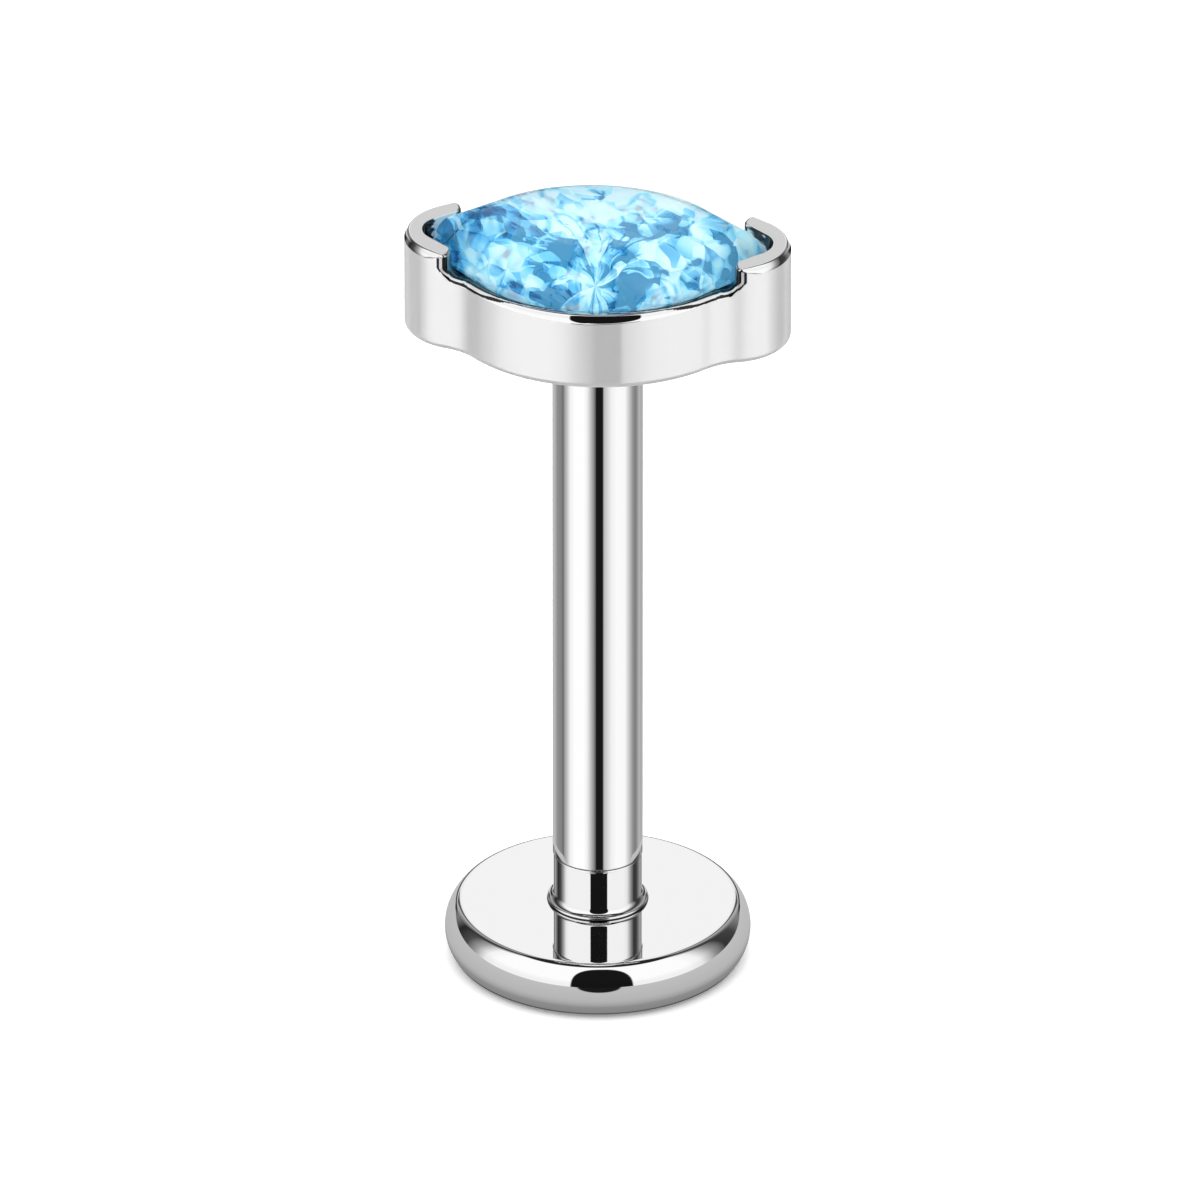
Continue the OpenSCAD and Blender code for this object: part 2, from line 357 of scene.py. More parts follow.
def layFloor():
    material, tree = newMaterial("floorPaint")
    shader = tree.nodes["Principled BSDF"]
    shader.inputs["Base Color"].default_value = (floor["white"],) * 3 + (1,)
    shader.inputs["Roughness"].default_value = 0.9
    shader.inputs["Specular IOR Level"].default_value = 0.0
    shader.inputs["Emission Color"].default_value = (1, 1, 1, 1)
    shader.inputs["Emission Strength"].default_value = floor["glow"]
    half = floor["half"]
    corners = [(-half, -half, 0), (half, -half, 0), (half, half, 0), (-half, half, 0)]
    ground = addMesh("floor", corners, [(0, 1, 2, 3)], material, False)
    ground.visible_glossy = False

    # the rim card glows with a painted reflection of the floor, darker where the camera card's foot is
    # painted
    glow, tree = newMaterial("rimCardPaint")
    tree.nodes.clear()
    level = tree.nodes.new("ShaderNodeAttribute")
    level.attribute_name = "level"
    parts = addParts(tree, addTurn(tree, addPlace(tree), -view["azimuth"]))
    do = partial(addMath, tree)
    place, half, height, depth = (length * mm for length in floor["cameraCardFoot"])
    behind = addRange(tree, parts["Y"], 0.0, mm, 0.0, 4.0)
    far = do("ADD", behind, addFar(tree, parts, ("X", place, half), ("Z", height, depth)))
    cardFootDark = addRange(tree, far, 0.8, 1.15, 0.02, 1.0)
    emission = tree.nodes.new("ShaderNodeEmission")
    tree.links.new(do("MULTIPLY", level.outputs["Fac"], cardFootDark), emission.inputs["Strength"])
    output = tree.nodes.new("ShaderNodeOutputMaterial")
    tree.links.new(emission.outputs[0], output.inputs["Surface"])

    # the rim card's rows of points, bearing by bearing
    points, levels, faces, count = [], [], [], 180
    slope = math.tan(math.radians(view["elevation"]))
    rows = len(floor["card"])
    for i in range(count):
        turn = 2 * math.pi * i / count      # 0 towards the camera
        tilt = math.atan2(slope, math.cos(turn)) / 2
        tallest = min(disc["rimHeight"] + disc["rimRadius"] * math.sin(tilt), floor["cardTallest"])
        bearing = turn - math.pi / 2 + math.radians(view["azimuth"])
        for row, (radius, share, bright) in enumerate(floor["card"]):
            points.append((radius * math.cos(bearing), radius * math.sin(bearing), 0.0005 + share * tallest))
            levels.append(bright)
            if row:
                here, there = i * rows + row, (i + 1) % count * rows + row
                faces.append((here - 1, there - 1, there, here))
    card = addMesh("rimCard", points, faces, glow, False)
    shades = card.data.attributes.new("level", "FLOAT", "POINT")
    for index, bright in enumerate(levels):
        shades.data[index].value = bright
    card.visible_camera = False
    card.visible_diffuse = False
    card.visible_shadow = False
    card.visible_transmission = False
    print("floor laid")


layFloor()


# Polished steel of the disc, the collar and the post
polish = {
    "colour": (0.89, 0.89, 0.892),
    "creaseShadeColour": (0.04, 0.04, 0.042),
    "roughness": (0.012, 0.05),     # between clean and faintly smudged
    "smudge": (900, 3, 0.35, 0.75),     # noise: waves per metre, detail, the levels between them
}
steel = smudgedMetal("polishedSteel", polish["colour"], 1.0, polish["smudge"], polish["roughness"])
# near-black steel for that crease: painted shade
shade = smudgedMetal("creasePaintedShade", polish["creaseShadeColour"], 1.0, polish["smudge"], polish["roughness"])


# A turned piece from its half section, a list of (radius, height) from axis to axis
def turnOnLathe(name, section, material, steps=224, crease=None):
    points, rings = [], []
    for radius, height in section:
        if radius < 1e-6:
            rings.append([len(points)])
            points.append((0, 0, height))
            continue
        rings.append(list(range(len(points), len(points) + steps)))
        for i in range(steps):
            turn = 2 * math.pi * i / steps
            points.append((radius * math.cos(turn), radius * math.sin(turn), height))
    faces = []
    for low, high in zip(rings, rings[1:]):
        if len(low) == 1:
            faces += fanFaces(high, low[0], fromBelow=True)
        elif len(high) == 1:
            faces += fanFaces(low, high[0])
        else:
            faces += bandFaces(low, high)
    piece = addMesh(name, points, faces, material)
    # faces between the two heights take the second, dark material: painted shade
    if crease:
        dark, low, high = crease
        piece.data.materials.append(dark)
        for face in piece.data.polygons:
            if low < face.center.z / mm < high:
                face.material_index = 1
    keepFlatsFlat(piece)
    return piece


# An arc's points, between two bearings in degrees
def arc(middle, radius, start, end, steps):
    turns = [math.radians(start + (end - start) * i / steps) for i in range(steps + 1)]
    return [(middle[0] + radius * math.cos(turn), middle[1] + radius * math.sin(turn)) for turn in turns]


# Rounds the corners of a section: each corner is (x, y, radius)
def softened(corners, steps=5):
    result = []
    for i, (x, y, radius) in enumerate(corners):
        if radius == 0 or i in (0, len(corners) - 1):
            result.append((x, y))
            continue
        here = Vector((x, y))
        toLast = (Vector(corners[i - 1][:2]) - here).normalized()
        toNext = (Vector(corners[i + 1][:2]) - here).normalized()
        half = toLast.angle(toNext) / 2
        middle = here + (toLast + toNext).normalized() * (radius / math.sin(half))
        start = here + toLast * (radius / math.tan(half)) - middle
        end = here + toNext * (radius / math.tan(half)) - middle
        sweep = math.atan2(start.x * end.y - start.y * end.x, start.dot(end))
        for k in range(steps + 1):
            turn = sweep * k / steps
            spoke = Vector((start.x * math.cos(turn) - start.y * math.sin(turn),
                            start.x * math.sin(turn) + start.y * math.cos(turn)))
            result.append(tuple(middle + spoke))
    return result


def buildDisc():
    rim = Vector((disc["radius"] - disc["rimRadius"], disc["rimHeight"]))
    # the foot's slope meets the rim's bulge
    slope, stand, bulge = disc["footSlope"], disc["standRadius"], disc["rimRadius"]
    a = 1 + slope * slope
    b = 2 * (stand - rim.x - slope * rim.y)
    c = (stand - rim.x) ** 2 + rim.y ** 2 - bulge * bulge
    run = (-b + math.sqrt(b * b - 4 * a * c)) / (2 * a)
    foot = Vector((stand + run, slope * run)) - rim
    # the round edge touches the flat top and the bulge
    edge = disc["edgeRadius"]
    edgeZ = disc["thickness"] - edge
    edgeX = rim.x + math.sqrt((bulge - edge) ** 2 - (edgeZ - rim.y) ** 2)
    meet = math.degrees(math.atan2(edgeZ - rim.y, edgeX - rim.x))
    footTurn = math.degrees(math.atan2(foot.y, foot.x))
    section = [(0, 0), (stand * 0.5, 0)] + softened(
        [(stand * 0.5, 0, 0), (stand, 0, disc["standRound"]), (stand + run, slope * run, 0)])[1:-1]
    section += arc(rim, bulge, footTurn, meet, 40)
    section += arc((edgeX, edgeZ), edge, meet, 90, 14)[1:]
    # up the collar: neck, bead, flare and straight part
    top = disc["thickness"]
    creaseTop = top + disc["crease"]
    bead = arc((0, 0), disc["beadRound"], -36, 72, 12)
    beadX = disc["beadRadius"] - disc["beadRound"]
    beadZ = creaseTop - bead[0][1]
    beadEnd = Vector(bead[-1]) + Vector((beadX, beadZ))
    collar, flare = disc["collarRadius"], disc["flareRadius"]
    flareX = collar + flare
    flareZ = beadEnd.y + math.sqrt(flare ** 2 - (flareX - beadEnd.x) ** 2)
    flareEnd = math.degrees(math.asin((beadEnd.y - flareZ) / flare))
    section += [(1.2, top)] + [(beadX + out, top + up) for out, up in disc["neck"]]
    section += [(beadX + x, beadZ + z) for x, z in bead]
    section += arc((flareX, flareZ), flare, 180 - flareEnd, 180, 14)
    seam, seamRound = disc["seam"], disc["seamRound"]
    section += softened([(collar, flareZ + 0.05, 0), (collar, seam, seamRound), (0.3, seam, 0)]) + [(0, seam)]
    piece = turnOnLathe("baseDisc", section, steel, crease=(shade, top + 1e-4, creaseTop))
    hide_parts("base_disc")
    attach(piece, "stem")
    print("base disc and collar turned")


buildDisc()

# Post: a tube, open at the top
post = {
    "radius": 0.6,
    "foot": 1.50,
    "top": 9.29,
    "chamfer": 0.04,
    "rounds": (0.025, 0.012, 0.02, 0.05),   # at the foot, the chamfer, the bore's mouth and its floor
    "bore": 0.33,
    "boreDepth": 6.2,
}


def buildPost():
    radius, foot, top, chamfer, bore = (post[name] for name in ("radius", "foot", "top", "chamfer", "bore"))
    atFoot, atChamfer, atMouth, atFloor = post["rounds"]
    boreFloor = top - post["boreDepth"]
    corners = [
        (0.3, foot, 0), (radius, foot, atFoot),
        (radius, top - chamfer, atChamfer), (radius - chamfer, top, atChamfer),
        (bore, top, atMouth), (bore, boreFloor, atFloor), (0.1, boreFloor, 0)]
    section = [(0, foot)] + softened(corners) + [(0, boreFloor)]
    piece = turnOnLathe("postTube", section, steel)
    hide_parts("post")
    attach(piece, "stem")
    print("post turned")


buildPost()

# Cup: the marquise setting with two raised end caps and the pin below, in mm
cup = {
    "length": 5.12,
    "width": 3.4,
    "sideRadius": 2.15,
    "lobeRadius": 0.82,
    "shoulderRadius": 0.8,
    "bottom": 9.30,
    "sideTop": 10.375,
    "capTop": 10.70,
    "capAngle": 77,         # half of what a cap covers, degrees about its round end
    "cornerRound": 0.05,    # upper corners of a cap's end
    "endRound": 0.085,      # its corners seen from above
    "footRound": 0.13,      # where a cap's end runs into the side wall
    "coveTurn": (46, 8),    # the hollow bevel's slope at its lower and upper edge, degrees
    "coveLength": 0.088,
    "edgeRound": 0.034,     # outer edge of the flat rim
    "innerRounds": (0.018, 0.05),   # inner edge of the rim: on a cap, at the side
    "bevelShares": (1.0, 0.42, 0.62, 1.15),  # its size on a cap, at a cap's end, beside it, mid side
    "bevelEase": (0.22, 0.7, 1.5),  # run of its growth on a cap, and the powers there and at the side
    "innerEase": 0.2,
    # lines along the rim: finish, where it ends across the rim beside a cap, and at mid side. The near-black
    # (3) and dark grey (4) ones are painted shade; the satin one (0) between them is a painted light line
    "rimLines": [(1, 0.03, 0.80), (3, 0.12, 0.84), (0, 0.26, 0.86),
                 (3, 0.48, 0.90), (4, 0.66, 0.94), (3, 1.01, 1.01)],
    "rimLinesTurn": (0.15, 0.90, 1.6),  # shares of the side between which they turn, and the power
    "wallRows": (10.1, 9.7),    # heights of two rings of points on the plain wall
    "bottomRound": 0.09,
    "wall": 0.17,
    "bayTake": 0.06,        # the hollow's round part is this much smaller than the lobe
    "bayShift": 0.377,
    "tipRadius": 0.35,
    "tipShift": 0.226,
    "ledgeWidth": 0.09,
    "ledgeHeight": 10.25,
    "floorTop": 9.50,
    "pinRadius": 0.29,
    "pinLength": 5.5,
    "pinRoot": [(0.03, 0), (0.009, -0.009), (0, -0.03)],    # out from the pin, up from the underside
    "pinTip": [(0, 0.07), (-0.015, 0.03), (-0.07, 0)],      # out from the pin, up from its end
    "smudge": (1500, 2, 0.3, 0.7),  # as the polished steel's
    "finishes": [  # name, colour, metallic, roughness
        ("cupSatin", (0.745, 0.745, 0.748), 0.46, 0.06),
        ("cupBevel", (0.89, 0.89, 0.892), 1.0, 0.02),
        ("cupTop", (0.62, 0.62, 0.623), 1.0, 0.12),
        # near-black: painted shade in the hollow and in dark lines along the rim
        ("cupInsidePaintedShade", (0.035, 0.035, 0.038), 1.0, 0.10),
        # dark grey: painted shade lines on the rim
        ("cupShade", (0.26, 0.26, 0.27), 1.0, 0.10),
        ("capInside", (0.9, 0.9, 0.905), 0.3, 0.10)],
    "streaks": (1.6, 8.0),      # light and dark streaks inside the caps, painted reflections: per mm along, per mm up
    "streakLevels": (0.38, 0.47),
    "tipShade": (2.16, 2.30),  # painted shade, dark from here to the cup's tip, mm from the middle
    "streakDark": 0.02,     # colour of the dark ones
}


def cupMaterials():
    finishes = []
    for name, colour, metallic, roughness in cup["finishes"]:
        spread = roughness * 0.85, roughness * 1.2
        finishes.append(smudgedMetal(name, colour, metallic, cup["smudge"], spread))
    # the last finish, inside the caps, is streaked with painted light and dark reflections, and painted shade
    # darkens it towards the cup's tips
    tree = finishes[-1].node_tree
    do, step = partial(addMath, tree), partial(addRange, tree)
    stretched = tree.nodes.new("ShaderNodeMapping")
    along, up = cup["streaks"]
    stretched.inputs["Scale"].default_value = (along / mm, along / mm, up / mm)
    tree.links.new(addPlace(tree), stretched.inputs["Vector"])
    streak = addNoise(tree, stretched.outputs[0], 1, 3)
    fromMiddle = do("ABSOLUTE", addParts(tree, addPlace(tree))["X"])
    near, far = cup["tipShade"]
    total = do("ADD", streak["Fac"], step(fromMiddle, near * mm, far * mm, 0.0, -0.4))
    light = step(total, *cup["streakLevels"], cup["streakDark"], colour[0])
    tree.links.new(light, tree.nodes["Principled BSDF"].inputs["Base Color"])
    return finishes


# The cup's outline seen from above, a quarter of it from the +X tip
sideY = cup["sideRadius"] - cup["width"] / 2
lobeX = cup["length"] / 2 - cup["lobeRadius"]


def makeOutline():
    side, lobe, shoulder = cup["sideRadius"], cup["lobeRadius"], cup["shoulderRadius"]
    far, near = side + shoulder, lobe + shoulder
    sideMiddle, lobeMiddle = Vector((0, -sideY)), Vector((lobeX, 0))
    span = (lobeMiddle - sideMiddle).length
    along = (far * far - near * near + span * span) / (2 * span)
    way = (lobeMiddle - sideMiddle) / span
    corner = sideMiddle + way * along + Vector((-way.y, way.x)) * math.sqrt(far * far - along * along)
    arcs = [  # middle, radius, bearing at the start and the end, outward sign
        (lobeMiddle, lobe, 0, math.atan2(*(corner - lobeMiddle).yx), 1),
        (corner, shoulder, math.atan2(*(lobeMiddle - corner).yx), math.atan2(*(sideMiddle - corner).yx), -1),
        (sideMiddle, side, math.atan2(*(corner - sideMiddle).yx), math.pi / 2, 1)]
    rows, run = [], 0
    for middle, radius, start, end, sign in arcs:
        sweep = (end - start + math.pi) % (2 * math.pi) - math.pi
        for k in range(121):
            turn = start + sweep * k / 120
            spoke = Vector((math.cos(turn), math.sin(turn)))
            rows.append((run + abs(sweep) * radius * k / 120, middle + spoke * radius, spoke * sign))
        run += abs(sweep) * radius
    return rows, run


outlineRows, quarter = makeOutline()
outlineWays = [row[0] for row in outlineRows]


# Place and outward direction on the outline, by the way round
def outline(s):
    s = s % (4 * quarter)
    fold = int(s // quarter)
    part = s - fold * quarter
    if fold in (1, 3):
        part = quarter - part
    low = min(bisect.bisect_right(outlineWays, part), len(outlineRows) - 1) - 1
    (startWay, startPlace, startOut), (endWay, endPlace, endOut) = outlineRows[low:low + 2]
    gap = endWay - startWay
    share = 0 if gap < 1e-12 else (part - startWay) / gap
    flip = Vector((-1 if fold in (1, 2) else 1, -1 if fold in (2, 3) else 1))
    return startPlace.lerp(endPlace, share) * flip, startOut.lerp(endOut, share).normalized() * flip


# The way from the middle of the nearer cap
def fromCap(s):
    return (s + quarter) % (2 * quarter) - quarter


# Whether a place lies in the hollow for the stone, or in one that is smaller by the inset
def inHollow(p, inset):
    x, y = abs(p.x), abs(p.y)
    inner = cup["sideRadius"] - cup["wall"] - inset
    if x * x + (y + sideY) ** 2 < inner * inner:
        return True
    big = cup["lobeRadius"] - cup["bayTake"] - inset
    small = cup["tipRadius"] - inset / 2
    bayX, tipX = lobeX - cup["bayShift"], lobeX + cup["tipShift"]
    if (x - bayX) ** 2 + y * y < big * big or (x - tipX) ** 2 + y * y < small * small:
        return True
    # between the two tangent lines
    turn = math.acos((big - small) / (tipX - bayX))
    along = (x - bayX) * math.cos(turn) + y * math.sin(turn)
    across = -(x - bayX) * math.sin(turn) + y * math.cos(turn)
    return along < big and across < 0 and across > -(tipX - bayX) * math.sin(turn)


def depthTo(place, out, inset):
    step, reach = 0.01, 0.0
    while not inHollow(place - out * reach, inset):
        reach += step
    low, high = reach - step, reach
    for _ in range(22):
        middle = (low + high) / 2
        if inHollow(place - out * middle, inset):
            high = middle
        else:
            low = middle
    return high


# Depths by the way round: to the hollow, and to the lower one under the ledge
spots = [outline(4 * quarter * k / 1200) for k in range(1200)]
thick = [depthTo(place, out, 0) for place, out in spots]
ledge = [depthTo(place, out, cup["ledgeWidth"]) for place, out in spots]


def lookUp(table, s):
    spot = s % (4 * quarter) / (4 * quarter) * len(table)
    low = int(spot) % len(table)
    return table[low] + (table[(low + 1) % len(table)] - table[low]) * (spot - int(spot))


# Ways from a cap's middle to its end, to the foot of its rounded end and to its flat top's end
capEnd = cup["lobeRadius"] * math.radians(cup["capAngle"])
cornerR, footR = cup["cornerRound"], cup["footRound"]
sFoot, sTop = capEnd + footR, capEnd - cornerR
sideRun = 2 * quarter - 2 * sFoot
capSteps, sideSteps = 30, 84


# Stations round the wall under the caps: cap, side, cap, side
def placeStations():
    stations = []
    for middle in (0, 2 * quarter):
        stations += [middle + sFoot * k / capSteps for k in range(-capSteps, capSteps + 1)]
        stations += [middle + sFoot + sideRun * k / sideSteps for k in range(1, sideSteps)]
    return stations


# The climb from the side wall's top to a cap's top, and the whole way along the rim, in rows
# of way, height, and the surface's direction along and up
def layRim():
    climb = []
    for k in range(11):
        turn = math.radians(9 * k)
        climb.append((sFoot - footR * math.sin(turn), cup["sideTop"] + footR * (1 - math.cos(turn)),
                      math.sin(turn), math.cos(turn)))
    climb.append((capEnd, cup["capTop"] - cornerR, 1.0, 0.0))
    for k in range(1, 9):
        turn = math.radians(90 * k / 8)
        climb.append((sTop + cornerR * math.cos(turn), cup["capTop"] - cornerR * (1 - math.sin(turn)),
                      math.cos(turn), math.sin(turn)))
    path = []
    for middle in (0, 2 * quarter):
        path += [(middle - s, z, -along, up) for s, z, along, up in climb]
        path += [(middle + sTop * k / capSteps, cup["capTop"], 0.0, 1.0)
                 for k in range(-capSteps + 1, capSteps)]
        path += [(middle + s, z, along, up) for s, z, along, up in reversed(climb)]
        path += [(middle + sFoot + sideRun * k / sideSteps, cup["sideTop"], 0.0, 1.0)
                 for k in range(1, sideSteps)]
    return climb, path


# Half section over the wall: a hollow bevel with the rim's outer edge, and the inner edge
def cutRimSection():
    low, high = (math.radians(turn) for turn in cup["coveTurn"])
    over, step = [(0.0, 0.0)], cup["coveLength"] / 10
    for k in range(10):
        turn = low + (high - low) * (k + 0.5) / 10
        depth, z = over[-1]
        over.append((depth + step * math.sin(turn), z + step * math.cos(turn)))
    (coveDepth, coveZ), edge = over[-1], cup["edgeRound"]
    for k in range(1, 11):
        turn = high + (math.pi / 2 - high) * k / 10
        over.append((coveDepth + edge * (math.cos(high) - math.cos(turn)),
                     coveZ + edge * (math.sin(turn) - math.sin(high))))
    rise = over[-1][1]
    inner, innerR = [], cup["innerRounds"][0]
    for k in range(7):
        turn = math.pi / 2 * (1 - k / 6)
        inner.append((innerR * (1 - math.cos(turn)), innerR * (math.sin(turn) - 1)))
    return [(depth, z - rise) for depth, z in over], inner


# The bevel's size along the rim
def bevelShare(s):
    onCap, atEnd, beside, midSide = cup["bevelShares"]
    growth, capPower, sidePower = cup["bevelEase"]
    way = abs(fromCap(s))
    if way < sTop:
        return atEnd + (onCap - atEnd) * min(1, (sTop - way) / growth) ** capPower
    if way < sFoot:
        return atEnd + (beside - atEnd) * (way - sTop) / (sFoot - sTop)
    return beside + (midSide - beside) * ((way - sFoot) / (quarter - sFoot)) ** sidePower


def innerShare(s):
    onCap, atSide = cup["innerRounds"]
    return 1 + (atSide / onCap - 1) * min(1, max(0, (abs(fromCap(s)) - sFoot) / cup["innerEase"]))


def buildCup():
    stations = placeStations()
    climb, path = layRim()
    over, inner = cutRimSection()
    outDrop, inDrop = -over[0][1], cup["innerRounds"][0]
    points, faces, marks = [], [], []

    def addPoint(plan, z):
        points.append((plan.x, plan.y, z))
        return len(points) - 1

    def at(s, depth, z):
        place, out = outline(s)
        return addPoint(place - out * depth, z)

    # a place in the wall; a cap's end is drawn back near the wall's faces, which rounds it
    def inWall(s, reach, z):
        way = fromCap(s)
        thickness, most = lookUp(thick, s), cup["endRound"]
        lift = min(1, max(0, (z - cup["sideTop"]) / footR))
        if abs(way) < sFoot and lift > 0:
            shorts = [max(0, most - max(0, gap)) for gap in (reach, thickness - reach)]
            pull = sum(most - math.sqrt(most ** 2 - short ** 2) for short in shorts)
            s -= lift * pull * way / max(sTop, abs(way))
            reach *= lookUp(thick, s) / thickness
        return at(s, reach, z)

    def strip(low, high, mark, closed=True):
        size = len(low)
        for i in range(size if closed else size - 1):
            j = (i + 1) % size
            faces.append((low[i], low[j], high[j], high[i]))
            marks.append(mark(i, low[i], high[i]) if callable(mark) else mark)

    # joins a ring to each of the next ones in turn, and gives back the last
    def skin(ring, others, mark, under=False):
        for other in others:
            low, high = (other, ring) if under else (ring, other)
            strip(low, high, mark)
            ring = other
        return ring

    def close(ring, z, under=False):
        triangles = fanFaces(ring, addPoint(Vector((0, 0)), z), under)
        faces.extend(triangles)
        marks.extend([0] * len(triangles))

    # a ring along the rim, measured from its outer edge or from its inner one
    def follow(depth, drop, fromInside=False):
        ring = []
        for s, z, along, up in path:
            size = innerShare(s) if fromInside else bevelShare(s)
            spot = s + drop * size * along
            reach = lookUp(thick, spot) - depth * size if fromInside else depth * size
            ring.append(inWall(spot, reach, z + drop * size * up))
        return ring

    half, climbs, acrossTop = len(path) // 2, len(climb), 2 * capSteps - 1

    # a cap's face above the side wall's top, as rows that narrow towards its top
    def capFace(boundary, under, drop, inside):
        for cap in range(2):
            middle, start = cap * 2 * quarter, cap * half
            left = boundary[start:start + climbs]
            topRow = boundary[start + climbs:start + climbs + acrossTop]
            right = boundary[start + climbs + acrossTop:start + 2 * climbs + acrossTop][::-1]
            grid = []
            foot, head = (z + drop * bevelShare(s) * up for s, z, along, up in (climb[0], climb[-1]))
            for j, (s, z, along, up) in enumerate(climb):
                if j == climbs - 1:
                    grid.append([left[j]] + topRow + [right[j]])
                    continue
                size = 1 if inside else bevelShare(s)
                reachOut, height = s + drop * size * along, z + drop * size * up
                share = (height - foot) / (head - foot)
                row = [left[j]]
                for k in range(-capSteps + 1, capSteps):
                    spot = middle + reachOut * k / capSteps
                    if j == 0:
                        row.append(under[cap * len(stations) // 2 + k + capSteps])
                    else:
                        top = points[topRow[k + capSteps - 1]][2]
                        reach = lookUp(thick, spot) if inside else 0
                        row.append(inWall(spot, reach, foot + (top - foot) * share))
                row.append(right[j])
                grid.append(row)
            for low, high in zip(grid, grid[1:]):
                strip(high, low, 5, closed=False) if inside else strip(low, high, 0, closed=False)

    # the closed rings under the top: their caps' stations share the boundary's points
    def ringUnder(boundary, inside, drop):
        ring = []
        for cap in range(2):
            start = cap * half
            ring.append(boundary[start])
            for k in range(-capSteps + 1, capSteps):
                spot = cap * 2 * quarter + sFoot * k / capSteps
                size = 1 if inside else bevelShare(sFoot)
                ring.append(at(spot, lookUp(thick, spot) if inside else 0, cup["sideTop"] + drop * size))
            last = start + 2 * climbs + acrossTop - 1
            ring.append(boundary[last])
            ring += boundary[last + 1:start + half]
        return ring

    outer = follow(0, -outDrop)
    inside = follow(0, -inDrop, True)
    underOut = ringUnder(outer, False, -outDrop)
    underIn = ringUnder(inside, True, -inDrop)
    capFace(outer, underOut, -outDrop, False)
    capFace(inside, underIn, -inDrop, True)

    # the finish across the rim: on a cap the given one, at the sides the lines of finish, painted shade and
    # painted light
    def rimMark(onCap):
        def markOf(i, low, high):
            s, z = path[i][:2]
            if z > cup["capTop"] - 0.5 * cornerR:
                return onCap
            way = (abs(fromCap(s)) - sFoot) / (quarter - sFoot)
            near, far, power = cup["rimLinesTurn"]
            toMiddle = min(1, max(0, (way - near) / (far - near))) ** power
            foot, head = (Vector(points[ring[i]]).xy for ring in (outer, inside))
            spot = (Vector(points[low]).xy + Vector(points[high]).xy) / 2
            across = (spot - foot).length / (head - foot).length
            for finish, beside, middle in cup["rimLines"]:
                if across < beside + (middle - beside) * toMiddle:
                    return finish
        return markOf

    # the flat of the rim
    def flatRing(share):
        ring = []
        for s, z, along, up in path:
            start, end = over[-1][0] * bevelShare(s), lookUp(thick, s) - inDrop * innerShare(s)
            ring.append(inWall(s, start + (end - start) * share, z))
        return ring

    last = skin(outer, (follow(*spot) for spot in over[1:]), rimMark(1))
    last = skin(last, (flatRing(k / 8) for k in range(1, 9)), rimMark(2))
    last = skin(last, (follow(*spot, True) for spot in inner[1:3]), rimMark(1))
    last = skin(last, (follow(*spot, True) for spot in inner[3:-1]), rimMark(5))
    strip(last, inside, rimMark(5))

    def ringAt(depth, z, table=None):
        return [at(s, depth + (lookUp(table, s) if table else 0), z) for s in stations]

    def pinRing(radius, z):
        return [addPoint(outline(s)[0].normalized() * radius, z) for s in stations]

    # outer wall down to the underside, in to the pin, and down the pin
    bottom, roundR = cup["bottom"], cup["bottomRound"]
    rows = [(0, z) for z in (*cup["wallRows"], bottom + roundR + 0.004)]
    for k in range(7):
        turn = math.radians(15 * k)
        rows.append((roundR * (1 - math.cos(turn)), bottom + roundR * (1 - math.sin(turn))))
    above = skin(underOut, (ringAt(*row) for row in rows), 0, under=True)
    pin, tipZ = cup["pinRadius"], bottom - cup["pinLength"]
    rows = [(pin + out, bottom + up) for out, up in cup["pinRoot"]]
    rows += [(pin + out, tipZ + up) for out, up in cup["pinTip"]]
    close(skin(above, (pinRing(*row) for row in rows), 0, under=True), tipZ, under=True)

    # inside: wall, ledge, lower hollow and floor, in the near-black finish of painted shade
    ledgeZ, floorZ = cup["ledgeHeight"], cup["floorTop"]
    above = skin(underIn, (ringAt(0, z, thick) for z in (ledgeZ + 0.01, ledgeZ)), 3)
    rows = [(0, ledgeZ), (0, floorZ + 0.05), (0.03, floorZ)]
    close(skin(above, (ringAt(*row, ledge) for row in rows), 3), floorZ)

    finishes = cupMaterials()
    piece = addMesh("marquiseCup", points, faces, finishes[0])
    for material in finishes[1:]:
        piece.data.materials.append(material)
    for face, mark in zip(piece.data.polygons, marks):
        face.material_index = mark
    keepFlatsFlat(piece)
    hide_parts("setting")
    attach(piece, "head")
    print("cup formed,", len(faces), "faces")


buildCup()

# Stone: a marquise with a smooth full crown, a table, and an irregularly cut pavilion that
# sends the light back. Heights in mm
stone = {
    "tip": 2.22,
    "girdleRadius": 1.95,
    "sideY": 0.45,
    "round": 96,            # points round the crown
    "profile": [            # shares of the girdle's length and width, height
        (1.0, 1.0, 10.375), (0.945, 0.878, 10.747), (0.85, 0.677, 10.914), (0.65, 0.56, 10.995)],
    "girdleFoot": 10.325,
    "knee": (0.5, 9.86),
    "culet": 9.575,
    "cuts": [(0.88, 36), (0.71, 26), (0.50, 17), (0.27, 10)],  # share, corners
    "jitter": (0.55, 0.10, 0.13),   # of the corners along a ring, across it, and upward in mm
    "index": 1.3,
    "clear": 0.65,           # how much of the light the veiled crown lets through
}

